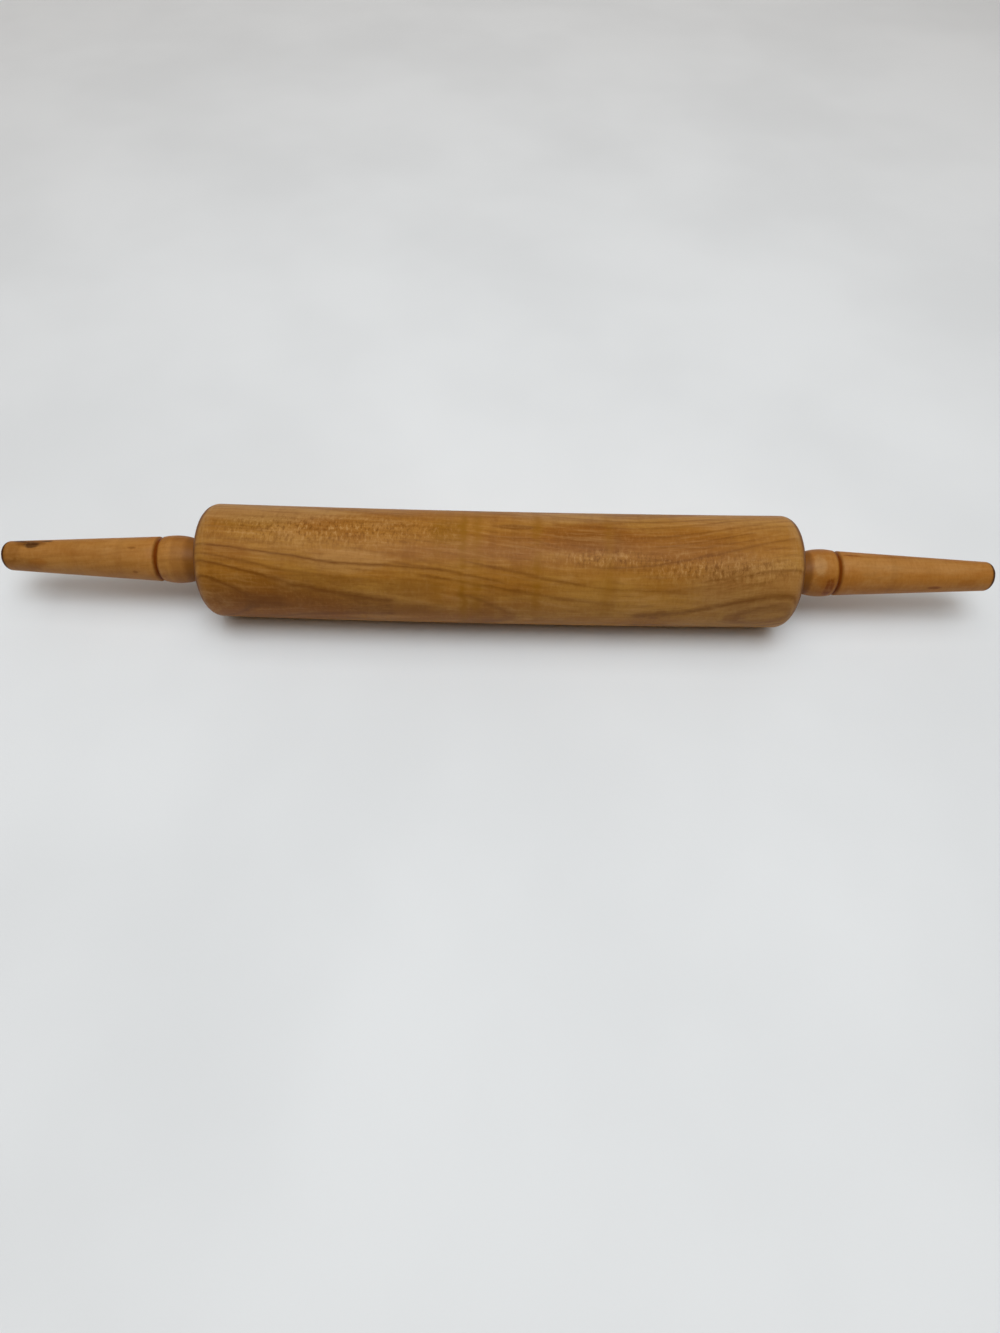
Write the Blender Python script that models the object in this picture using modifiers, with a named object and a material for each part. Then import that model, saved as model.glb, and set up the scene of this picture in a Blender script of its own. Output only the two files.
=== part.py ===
"""Rolling pin with turned handles.

A hardwood barrel spins on two caged ball bearings. A steel axle runs through it, and a turned
handle is pinned on each end of the axle. The pin lies along X on a table at Z = 0, with its
middle over the origin. Sizes are in metres.

Along the axis, a place is given as its distance out from the nearer end face of the barrel:
"out" is positive towards the handle's tip and negative inside the barrel.
"""

import math

import bmesh
import bpy
from mathutils import Matrix, Vector

# Barrel
BARREL_DIAMETER = 0.0508
BARREL_LENGTH = 0.264
BARREL_EDGE_RADIUS = 0.006

# Axle
AXLE_DIAMETER = 0.008
AXLE_REACH = 0.046
AXLE_CHAMFER = 0.0008
RING_GROOVE_DEPTH = 0.0006

# Handle
HANDLE_CLEARANCE = 0.0008
HANDLE_REACH = 0.093
BEAD_DIAMETER = 0.0216
BEAD_MIDDLE = 0.0147
NOSE_DIAMETER = 0.014
NOSE_EDGE = 0.0005
VEE_POSITION = 0.0218
VEE_WIDTH = 0.0024
VEE_DEPTH = 0.0013
SHOULDER_DIAMETER = 0.0202
TIP_DIAMETER = 0.0133
TIP_EDGE_RADIUS = 0.0024
DRILL_POINT_DEPTH = 0.0024

# Cross pin through handle and axle
PIN_DIAMETER = 0.0024
PIN_POSITION = 0.0147
PIN_REACH_PAST_AXLE = 0.003
PIN_SUNK_BELOW_SURFACE = 0.0006

# Bearing
BALL_DIAMETER = 0.00476
CONE_WALL = 0.0012
CONE_FLANGE = 0.002
CONE_TAIL = 0.0018
CUP_WALL = 0.0012
RACE_ARC = math.radians(50)
CAGE_THICKNESS = 0.0012
CAGE_WEB = 0.0007
CAGE_CLEARANCE = 0.0004
WASHER_THICKNESS = 0.0015
WASHER_DIAMETER = 0.0128
CAP_THICKNESS = 0.0008
CAP_RECESS = 0.0002
CAP_CLEARANCE = 0.0005
RING_THICKNESS = 0.001
RING_HEIGHT = 0.0023
RING_OPENING = 0.003
RING_CLEARANCE = 0.0005

# Clearances: a seated piece keeps FIT_GAP to its seat, and a ball keeps BALL_GAP to its races
FIT_GAP = 0.0003
BALL_GAP = 0.0002

# Facets round each kind of turned piece, and steps along the arcs of an outline
BARREL_FACETS = 64
HANDLE_FACETS = 40
BEARING_FACETS = 32
BALL_FACETS = 10
BALL_RINGS = 6
POCKET_FACETS = 16
PIN_FACETS = 12
EDGE_STEPS = 5
BEAD_STEPS = 9
RACE_STEPS = 3
CUTTER_MARGIN = 0.001
MERGE_DISTANCE = 0.00001
SHARP_ANGLE = math.radians(30)

# Radii and places worked out from the sizes above
BARREL_RADIUS = BARREL_DIAMETER / 2
AXLE_RADIUS = AXLE_DIAMETER / 2
BALL_RADIUS = BALL_DIAMETER / 2
RACE_RADIUS = BALL_RADIUS + BALL_GAP
SLEEVE_BORE = AXLE_RADIUS + FIT_GAP
PITCH_RADIUS = SLEEVE_BORE + CONE_WALL + RACE_RADIUS
CUP_RADIUS = PITCH_RADIUS + RACE_RADIUS + CUP_WALL
SEAT_RADIUS = CUP_RADIUS + FIT_GAP
FLANGE_RADIUS = PITCH_RADIUS - RACE_RADIUS * math.cos(RACE_ARC)
LIP_RADIUS = PITCH_RADIUS + RACE_RADIUS * math.cos(RACE_ARC)
RACE_HEIGHT = RACE_RADIUS * math.sin(RACE_ARC)
WASHER_RADIUS = WASHER_DIAMETER / 2
CAP_HOLE = max(WASHER_RADIUS, FLANGE_RADIUS) + CAP_CLEARANCE
GROOVE_RADIUS = AXLE_RADIUS - RING_GROOVE_DEPTH
RING_RADIUS = AXLE_RADIUS + RING_HEIGHT
BARREL_BORE = RING_RADIUS + RING_CLEARANCE
POCKET_RADIUS = BALL_RADIUS + BALL_GAP
POCKET_SPACING = 2 * POCKET_RADIUS + CAGE_WEB
BALL_COUNT = int(math.pi / math.asin(POCKET_SPACING / (2 * PITCH_RADIUS)))
CAGE_HALF_HEIGHT = POCKET_RADIUS + CAGE_WEB
HALF_FACET = math.pi / BARREL_FACETS
AXIS_HEIGHT = BARREL_RADIUS * math.cos(HALF_FACET)
BARREL_END = BARREL_LENGTH / 2

WASHER_OUTER_FACE = HANDLE_CLEARANCE - FIT_GAP
WASHER_INNER_FACE = WASHER_OUTER_FACE - WASHER_THICKNESS
CONE_OUTER_FACE = WASHER_INNER_FACE - FIT_GAP
BALL_PLANE = CONE_OUTER_FACE - CONE_FLANGE - RACE_HEIGHT
CONE_INNER_FACE = BALL_PLANE - CONE_TAIL
RING_OUTER_FACE = CONE_INNER_FACE - FIT_GAP
RING_INNER_FACE = RING_OUTER_FACE - RING_THICKNESS
CUP_MOUTH = BALL_PLANE + BALL_RADIUS
CUP_INNER_FACE = BALL_PLANE - CAGE_HALF_HEIGHT - CAGE_CLEARANCE
SEAT_FLOOR = CUP_INNER_FACE - FIT_GAP
CAP_FOOT = CUP_MOUTH + FIT_GAP

SIDES = {"left": -1, "right": 1}


def material(name, colour, roughness, metallic=0.0):
    """A plain finish: linear base colour, roughness and metallic value."""
    made = bpy.data.materials.new(name)
    made.use_nodes = True
    shader = made.node_tree.nodes["Principled BSDF"]
    shader.inputs["Base Color"].default_value = (*colour, 1.0)
    shader.inputs["Roughness"].default_value = roughness
    shader.inputs["Metallic"].default_value = metallic
    return made


def collection(name):
    """A collection in the scene, for the parts or for the shapes that cut them."""
    made = bpy.data.collections.new(name)
    bpy.context.scene.collection.children.link(made)
    return made


def axis_empty(name):
    """An empty on the pin's axis, which a body that turns about it hangs from."""
    made = bpy.data.objects.new(name, None)
    made.empty_display_size = BARREL_RADIUS
    made.location = (0, 0, AXIS_HEIGHT)
    parts.objects.link(made)
    return made


def arc(middle, radius, first, last, steps):
    """Points (radius, out) on an arc. Angle 0 points away from the axis, and 90 degrees out along it."""
    turns = [first + (last - first) * i / steps for i in range(steps + 1)]
    return [(middle[0] + radius * math.cos(a), middle[1] + radius * math.sin(a)) for a in turns]


def mirrored(outline):
    """The same points on the other side of the middle, in the order that goes on from them."""
    return [(radius, -out) for radius, out in reversed(outline)]


def piece(name, mesh, finish, parent, location=(0, 0, 0), turn=Matrix()):
    """An object of the model, hung from its body's empty."""
    made = bpy.data.objects.new(name, mesh)
    made.parent = parent
    made.location = location
    made.rotation_euler = turn.to_euler()
    mesh.materials.append(finish)
    parts.objects.link(made)
    return made


def facing(side):
    """The turn that points a turned piece's own Z out of the barrel on that side, a facet downwards."""
    return Matrix.Rotation(side * math.pi / 2, 4, "Y") @ Matrix.Rotation(HALF_FACET, 4, "Z")


def turned(name, outline, finish, parent, side=1, start=BARREL_END, facets=BEARING_FACETS, ring=True):
    """A body of revolution. The outline runs down its outer side, and a ring's closes on itself."""
    mesh = bpy.data.meshes.new(name)
    corners = [(radius, 0.0, out) for radius, out in outline]
    lines = [(i, i + 1) for i in range(len(corners) - 1)]
    if ring:
        lines.append((len(corners) - 1, 0))
    mesh.from_pydata(corners, lines, [])
    made = piece(name, mesh, finish, parent, (side * start, 0, 0), facing(side))
    screw = made.modifiers.new("Turn", "SCREW")
    screw.axis = "Z"
    screw.steps = facets
    screw.render_steps = facets
    screw.use_merge_vertices = True
    screw.merge_threshold = MERGE_DISTANCE
    return made


def cutter(name, mesh, matrix):
    """A shape that only cuts others, kept out of the render."""
    made = bpy.data.objects.new(name, mesh)
    made.matrix_world = matrix
    made.hide_render = True
    made.display_type = "WIRE"
    cutters.objects.link(made)
    return made


def cut(target, tool):
    """Cut the tool's shape out of the target."""
    boolean = target.modifiers.new(tool.name, "BOOLEAN")
    boolean.operation = "DIFFERENCE"
    boolean.object = tool


def ball_places():
    """Where each ball lies on its bearing's pitch circle, in a frame whose Z points out along the axis."""
    turns = [2 * math.pi * i / BALL_COUNT for i in range(BALL_COUNT)]
    return [Vector((PITCH_RADIUS * math.cos(turn), PITCH_RADIUS * math.sin(turn), 0)) for turn in turns]


def mesh_of(name, shape):
    """A mesh from a bmesh, which is freed."""
    mesh = bpy.data.meshes.new(name)
    shape.to_mesh(mesh)
    shape.free()
    return mesh


def ball_mesh(name):
    """One ball about its own middle."""
    shape = bmesh.new()
    bmesh.ops.create_uvsphere(shape, u_segments=BALL_FACETS, v_segments=BALL_RINGS, radius=BALL_RADIUS)
    return mesh_of(name, shape)


def add_rod(shape, radius, start, end, facets, matrix=Matrix()):
    """Add a plain rod to a bmesh. It runs from start to end along the matrix's own Z."""
    length = end - start
    place = matrix @ Matrix.Translation((0, 0, (start + end) / 2))
    bmesh.ops.create_cone(
        shape, cap_ends=True, segments=facets, radius1=radius, radius2=radius, depth=length, matrix=place
    )


def cross_rod_mesh(name, radius, start, end):
    """A rod along Y, from start to end, straight through the axis."""
    shape = bmesh.new()
    add_rod(shape, radius, start, end, PIN_FACETS, Matrix.Rotation(-math.pi / 2, 4, "X"))
    return mesh_of(name, shape)


def pockets_mesh(name):
    """The holes punched through a cage, one straight out from the axis at each ball."""
    shape = bmesh.new()
    reach = CAGE_THICKNESS / 2 + CUTTER_MARGIN
    for place in ball_places():
        outwards = place.to_track_quat("Z", "Y").to_matrix().to_4x4()
        add_rod(shape, POCKET_RADIUS, -reach, reach, POCKET_FACETS, Matrix.Translation(place) @ outwards)
    return mesh_of(name, shape)


def box_mesh(name, low, high):
    """A box between two corners."""
    shape = bmesh.new()
    size = [b - a for a, b in zip(low, high)]
    middle = [(a + b) / 2 for a, b in zip(low, high)]
    place = Matrix.Translation(middle) @ Matrix.Diagonal((*size, 1.0))
    bmesh.ops.create_cube(shape, size=1.0, matrix=place)
    return mesh_of(name, shape)


def settle():
    """Keep each part's finished mesh, shaded smooth between its sharp edges."""
    bpy.context.view_layer.update()
    graph = bpy.context.evaluated_depsgraph_get()
    for made in [o for o in parts.objects if o.type == "MESH"]:
        mesh = bpy.data.meshes.new_from_object(made.evaluated_get(graph))
        mesh.shade_smooth()
        mesh.set_sharp_from_angle(angle=SHARP_ANGLE)
        made.modifiers.clear()
        made.data = mesh


def barrel():
    """The roller: rounded edges, a seat for a bearing in each end and a clearance bore between them."""
    edge_middle = (BARREL_RADIUS - BARREL_EDGE_RADIUS, BARREL_END - BARREL_EDGE_RADIUS)
    outside = arc(edge_middle, BARREL_EDGE_RADIUS, math.pi / 2, 0, EDGE_STEPS)
    inside = [
        (BARREL_BORE, BARREL_END + SEAT_FLOOR),
        (SEAT_RADIUS, BARREL_END + SEAT_FLOOR),
        (SEAT_RADIUS, BARREL_END),
    ]
    outline = outside + mirrored(outside) + mirrored(inside) + inside
    turned("barrel", outline, barrel_wood, barrel_body, start=0, facets=BARREL_FACETS)


def axle_rod():
    """The steel rod, with a groove for each retaining ring and a cross hole for each handle's pin."""
    end = BARREL_END + AXLE_REACH
    groove_top = BARREL_END + RING_OUTER_FACE + FIT_GAP
    groove_foot = BARREL_END + RING_INNER_FACE - FIT_GAP
    half = [
        (0, end),
        (AXLE_RADIUS - AXLE_CHAMFER, end),
        (AXLE_RADIUS, end - AXLE_CHAMFER),
        (AXLE_RADIUS, groove_top),
        (GROOVE_RADIUS, groove_top),
        (GROOVE_RADIUS, groove_foot),
        (AXLE_RADIUS, groove_foot),
    ]
    rod = turned("axle_rod", half + mirrored(half), steel, axle_body, start=0, ring=False)
    for name in SIDES:
        cut(rod, pin_holes[name])


def bead_radius(out):
    """The bead's radius at a distance out from the barrel's end."""
    share = (out - BEAD_MIDDLE) / (BEAD_MIDDLE - HANDLE_CLEARANCE)
    return BEAD_DIAMETER / 2 - share**2 * (BEAD_DIAMETER - NOSE_DIAMETER) / 2


def handle(name, side):
    """A turned handle: bead, dark V groove, long taper and rounded tip, drilled blind for the axle."""
    tip_radius = TIP_DIAMETER / 2
    vee_outer = VEE_POSITION + VEE_WIDTH / 2
    vee_inner = VEE_POSITION - VEE_WIDTH / 2
    hole_end = AXLE_REACH + FIT_GAP
    tip_middle = (tip_radius - TIP_EDGE_RADIUS, HANDLE_REACH - TIP_EDGE_RADIUS)
    bead_length = vee_inner - HANDLE_CLEARANCE - NOSE_EDGE
    bead_steps = [vee_inner - bead_length * i / BEAD_STEPS for i in range(BEAD_STEPS + 1)]
    outline = [(0, HANDLE_REACH)]
    outline += arc(tip_middle, TIP_EDGE_RADIUS, math.pi / 2, 0, EDGE_STEPS)
    outline += [(SHOULDER_DIAMETER / 2, vee_outer), (bead_radius(VEE_POSITION) - VEE_DEPTH, VEE_POSITION)]
    outline += [(bead_radius(out), out) for out in bead_steps]
    outline += [
        (NOSE_DIAMETER / 2 - NOSE_EDGE, HANDLE_CLEARANCE),
        (SLEEVE_BORE, HANDLE_CLEARANCE),
        (SLEEVE_BORE, hole_end),
        (0, hole_end + DRILL_POINT_DEPTH),
    ]
    grip = turned(f"{name}_handle", outline, handle_wood, axle_body, side, facets=HANDLE_FACETS, ring=False)
    cut(grip, pin_holes[name])


def pin_hole(name, side):
    """The hole drilled from behind, through the bead and the axle, for the handle's cross pin."""
    radius = PIN_DIAMETER / 2 + FIT_GAP
    far = -(AXLE_RADIUS + PIN_REACH_PAST_AXLE + FIT_GAP)
    near = BEAD_DIAMETER / 2 + CUTTER_MARGIN
    mesh = cross_rod_mesh(f"{name}_pin_hole", radius, far, near)
    place = Matrix.Translation((side * (BARREL_END + PIN_POSITION), 0, AXIS_HEIGHT))
    return cutter(f"{name}_pin_hole", mesh, place)


def handle_pin(name, side):
    """The headless steel pin that locks a handle to the axle, its end sunk in the back of the bead."""
    far = -(AXLE_RADIUS + PIN_REACH_PAST_AXLE)
    near = bead_radius(PIN_POSITION) - PIN_SUNK_BELOW_SURFACE
    mesh = cross_rod_mesh(f"{name}_handle_pin", PIN_DIAMETER / 2, far, near)
    piece(f"{name}_handle_pin", mesh, steel, axle_body, (side * (BARREL_END + PIN_POSITION), 0, 0))


def thrust_washer(name, side):
    """The washer that keeps a handle's nose off the barrel and the bearing."""
    outline = [
        (WASHER_RADIUS, WASHER_OUTER_FACE),
        (WASHER_RADIUS, WASHER_INNER_FACE),
        (SLEEVE_BORE, WASHER_INNER_FACE),
        (SLEEVE_BORE, WASHER_OUTER_FACE),
    ]
    turned(f"{name}_thrust_washer", outline, fibre, axle_body, side)


def bearing_cone(name, side):
    """The inner race, on the axle: its flange runs outside the balls."""
    race = arc((PITCH_RADIUS, BALL_PLANE), RACE_RADIUS, math.pi - RACE_ARC, math.pi, RACE_STEPS)
    outline = [(FLANGE_RADIUS, CONE_OUTER_FACE)] + race
    outline += [
        (PITCH_RADIUS - RACE_RADIUS, CONE_INNER_FACE),
        (SLEEVE_BORE, CONE_INNER_FACE),
        (SLEEVE_BORE, CONE_OUTER_FACE),
    ]
    turned(f"{name}_bearing_cone", outline, steel, axle_body, side)


def bearing_cup(name, side):
    """The outer race, pressed in the barrel's seat: its lip runs inside the balls."""
    race = arc((PITCH_RADIUS, BALL_PLANE), RACE_RADIUS, -RACE_ARC, 0, RACE_STEPS)
    outline = [(CUP_RADIUS, CUP_MOUTH), (CUP_RADIUS, CUP_INNER_FACE), (LIP_RADIUS, CUP_INNER_FACE)]
    outline += race + [(PITCH_RADIUS + RACE_RADIUS, CUP_MOUTH)]
    turned(f"{name}_bearing_cup", outline, steel, barrel_body, side)


def balls_and_cage(name, side, body):
    """The ring of steel balls and the brass cage that spaces them."""
    inner = PITCH_RADIUS - CAGE_THICKNESS / 2
    outer = PITCH_RADIUS + CAGE_THICKNESS / 2
    outline = [
        (outer, BALL_PLANE + CAGE_HALF_HEIGHT),
        (outer, BALL_PLANE - CAGE_HALF_HEIGHT),
        (inner, BALL_PLANE - CAGE_HALF_HEIGHT),
        (inner, BALL_PLANE + CAGE_HALF_HEIGHT),
    ]
    cage = turned(f"{name}_ball_cage", outline, brass, body, side)
    middle = Vector((side * (BARREL_END + BALL_PLANE), 0, 0))
    turn = facing(side)
    for number, place in enumerate(ball_places(), start=1):
        label = f"{name}_ball_{number}"
        piece(label, ball_mesh(label), polished_steel, body, middle + turn @ place, turn)
    matrix = Matrix.Translation(middle + Vector((0, 0, AXIS_HEIGHT))) @ turn
    cut(cage, cutter(f"{name}_ball_pockets", pockets_mesh(f"{name}_ball_pockets"), matrix))


def retaining_ring(name, side):
    """The open spring ring in the axle's groove, which the cone bears against."""
    inner = GROOVE_RADIUS + FIT_GAP
    outline = [
        (RING_RADIUS, RING_OUTER_FACE),
        (RING_RADIUS, RING_INNER_FACE),
        (inner, RING_INNER_FACE),
        (inner, RING_OUTER_FACE),
    ]
    ring = turned(f"{name}_retaining_ring", outline, steel, axle_body, side)
    low = (RING_INNER_FACE - CUTTER_MARGIN, -RING_OPENING / 2, 0)
    high = (RING_OUTER_FACE + CUTTER_MARGIN, RING_OPENING / 2, RING_RADIUS + CUTTER_MARGIN)
    mesh = box_mesh(f"{name}_ring_opening", low, high)
    turn = Matrix.Rotation(0 if side > 0 else math.pi, 4, "Z")
    place = Matrix.Translation((side * BARREL_END, 0, AXIS_HEIGHT)) @ turn
    cut(ring, cutter(f"{name}_ring_opening", mesh, place))


def dust_cap(name, side):
    """The pressed cap that closes a bearing's seat, flush with the barrel's end."""
    face = -CAP_RECESS
    outline = [
        (CUP_RADIUS, face),
        (CUP_RADIUS, CAP_FOOT),
        (CUP_RADIUS - CAP_THICKNESS, CAP_FOOT),
        (CUP_RADIUS - CAP_THICKNESS, face - CAP_THICKNESS),
        (CAP_HOLE, face - CAP_THICKNESS),
        (CAP_HOLE, face),
    ]
    turned(f"{name}_dust_cap", outline, plated_steel, barrel_body, side)


for startup in list(bpy.data.objects):
    bpy.data.objects.remove(startup)
parts = collection("Rolling pin")
cutters = collection("Cutters")

barrel_wood = material("barrel_wood", (0.40, 0.20, 0.065), 0.42)
handle_wood = material("handle_wood", (0.44, 0.18, 0.055), 0.38)
steel = material("steel", (0.55, 0.55, 0.54), 0.3, 1.0)
polished_steel = material("polished_steel", (0.72, 0.72, 0.73), 0.08, 1.0)
plated_steel = material("plated_steel", (0.62, 0.61, 0.58), 0.25, 1.0)
brass = material("brass", (0.70, 0.48, 0.18), 0.35, 1.0)
fibre = material("fibre", (0.16, 0.06, 0.03), 0.6)

axle_body = axis_empty("axle_body")
barrel_body = axis_empty("barrel_body")
pin_holes = {name: pin_hole(name, side) for name, side in SIDES.items()}

barrel()
axle_rod()
for name, side in SIDES.items():
    handle(name, side)
    handle_pin(name, side)
    thrust_washer(name, side)
    bearing_cone(name, side)
    bearing_cup(name, side)
    balls_and_cage(name, side, axis_empty(f"{name}_cage_body"))
    retaining_ring(name, side)
    dust_cap(name, side)
settle()

# The cage and its balls turn at this share of the barrel's turn, for a contact at 45 degrees
CONTACT_REACH = BALL_RADIUS * math.cos(math.radians(45))
print("cage turn for one turn of the barrel:", round((1 + CONTACT_REACH / PITCH_RADIUS) / 2, 4))
print("balls in each bearing:", BALL_COUNT, "axis height in mm:", round(AXIS_HEIGHT * 1000, 4))
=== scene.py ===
"""Dresses the rolling pin: turned maple barrel and handles, bearing fittings, and a plain stage.

The pin lies along X on a table at Z = 0. Along the axis, a place is given as its distance out from
the nearer end face of the barrel, positive towards the handle's tip. Sizes are in metres, and the
patterns in the finishes are worked out in millimetres.
"""

import math
from functools import reduce
from typing import NamedTuple

import bmesh
import bpy
from bpy.props import FloatProperty, FloatVectorProperty, PointerProperty
from bpy.types import Operator, Panel, PropertyGroup
from mathutils import Matrix, Vector


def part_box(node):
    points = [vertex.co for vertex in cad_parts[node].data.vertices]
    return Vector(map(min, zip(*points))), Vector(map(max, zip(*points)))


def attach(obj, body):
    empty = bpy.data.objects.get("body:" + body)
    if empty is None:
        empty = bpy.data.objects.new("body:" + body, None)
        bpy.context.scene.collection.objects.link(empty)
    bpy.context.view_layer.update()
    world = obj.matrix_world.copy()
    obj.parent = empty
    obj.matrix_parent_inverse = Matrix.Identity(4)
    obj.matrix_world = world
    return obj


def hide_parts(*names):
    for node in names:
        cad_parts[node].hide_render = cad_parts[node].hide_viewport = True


bl_info = {
    "name": "Rolling Pin",
    "version": (1, 0, 0),
    "blender": (4, 5, 0),
    "location": "View3D > Sidebar > Rolling Pin",
    "description": "Turned barrel, turned handles and ball bearings of a rolling pin, on a plain stage",
    "category": "Object",
}

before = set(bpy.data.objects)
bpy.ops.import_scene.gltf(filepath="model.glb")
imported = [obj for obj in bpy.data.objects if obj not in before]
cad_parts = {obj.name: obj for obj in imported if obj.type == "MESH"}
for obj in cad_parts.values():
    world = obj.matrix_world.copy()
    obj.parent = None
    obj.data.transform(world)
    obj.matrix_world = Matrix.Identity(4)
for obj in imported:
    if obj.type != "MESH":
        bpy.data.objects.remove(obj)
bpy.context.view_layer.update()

SIDES = {"left": -1, "right": 1}
LOW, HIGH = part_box("barrel")
AXIS_HEIGHT = (LOW.z + HIGH.z) / 2
BARREL_RADIUS = (HIGH.z - LOW.z) / 2
BARREL_END = HIGH.x
HANDLE_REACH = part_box("right_handle")[1].x - BARREL_END

# In a metre
MILLIMETRES = 1000

# How finely the pieces are divided
BARREL_SIDES = 192
BARREL_CUTS = 47
EDGE_SEGMENTS = 14
SEAT_STEPS = 3
HANDLE_SIDES = 96
NOSE_STEPS = 4
BEAD_STEPS = 22
GRIP_STEPS = 16
TIP_STEPS = 10
FITTING_SIDES = 96
RIM_STEPS = 6
PIN_SIDES = 32
PIN_SEGMENTS = 4

# What counts as sharp, as facing along the axle, as one point, as touching and as near
SHARP_ANGLE = math.radians(32)
ALONG_AXLE = 0.99
WELD_DISTANCE = 0.000001
TOUCH = 0.00001
NEAR = 0.0001

# Fits between the pieces inside
FIT_GAP = 0.0003
RING_CLEARANCE = 0.0005
CAP_CLEARANCE = 0.0005
CUT_MARGIN = 0.002

# Small edges and thicknesses
NOSE_EDGE = 0.0005
GROOVE_LIP = 0.00025
DRILL_POINT = 0.0024
CAP_SHEET = 0.0008
CAP_BEND = 0.0004
CAP_DIP = 0.00018
CAP_LIP = 0.0002
WASHER_EDGE = 0.00015

# How much nearer to the barrel than the groove's middle its burnt line lies
BURN_OFFSET = 0.00035

# The rounding of a cross pin's ends, as a share of its radius
PIN_ROUNDING = 0.45

# Camera
PHOTO_HEIGHT = 1333
FOCAL_PIXELS = 722
SENSOR = 36.0
CAMERA_PLACE = (-0.00036506, -0.2103095, 0.28591257)
CAMERA_DEPRESSION = math.radians(59)
CAMERA_YAW = 0.00865
CAMERA_ROLL = 0.02813
CLIP_START = 0.01

# Stage
FLOOR_WIDTH = 8.0
COVE_START = 2.6
COVE_BEND = 1.2
COVE_SIDES = 160
COVE_STEPS = 24
WALL_HEIGHT = 3.4
WALL_RISE = 0.4
FLOOR_DIMMING = 0.93
SKY_STRENGTH = 0.075

# Name, place, width, power in watts and tone of each lamp
LAMPS = (
    ("overhead", (0.04, -0.147, 1.0), 0.53, 3.9, "lamp"),
    ("ceiling", (0.0, -0.16, 2.4), 2.8, 42.0, "glow"),
    ("far wall", (0.0, 1.8, 1.0), 2.2, 7.0, "glow"),
)


class Value:
    """A socket in a finish, so that maths on it is written as a plain expression."""

    def __init__(self, finish, socket):
        self.finish = finish
        self.socket = socket

    def maths(self, operation, *terms):
        settings = {"operation": operation}
        return self.finish.node("ShaderNodeMath", settings, dict(enumerate(terms)))

    def __add__(self, other):
        return self.maths("ADD", self, other)

    def __radd__(self, other):
        return self.maths("ADD", other, self)

    def __sub__(self, other):
        return self.maths("SUBTRACT", self, other)

    def __rsub__(self, other):
        return self.maths("SUBTRACT", other, self)

    def __mul__(self, other):
        return self.maths("MULTIPLY", self, other)

    def __rmul__(self, other):
        return self.maths("MULTIPLY", other, self)

    def __truediv__(self, other):
        return self.maths("DIVIDE", self, other)

    def __pow__(self, other):
        return self.maths("POWER", self, other)

    def lowest(self, other):
        return self.maths("MINIMUM", self, other)

    def highest(self, other):
        return self.maths("MAXIMUM", self, other)

    def root(self):
        return self.maths("SQRT", self)

    def size(self):
        return self.maths("ABSOLUTE", self)

    def wave(self):
        return self.maths("SINE", self)

    def fraction(self):
        return self.maths("FRACT", self)

    def share(self, start, end):
        """0 at start and 1 at end, smooth between them and held beyond them."""
        settings = {"interpolation_type": "SMOOTHSTEP"}
        sockets = {"Value": self, "From Min": start, "From Max": end}
        if start > end:
            sockets = {"Value": self, "From Min": end, "From Max": start, "To Min": 1.0, "To Max": 0.0}
        return self.finish.node("ShaderNodeMapRange", settings, sockets)

    def ramp(self, start, first, end, last):
        """A straight slope from first at start to last at end, held beyond them."""
        sockets = {"Value": self, "From Min": start, "From Max": end, "To Min": first, "To Max": last}
        return self.finish.node("ShaderNodeMapRange", sockets=sockets)


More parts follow.
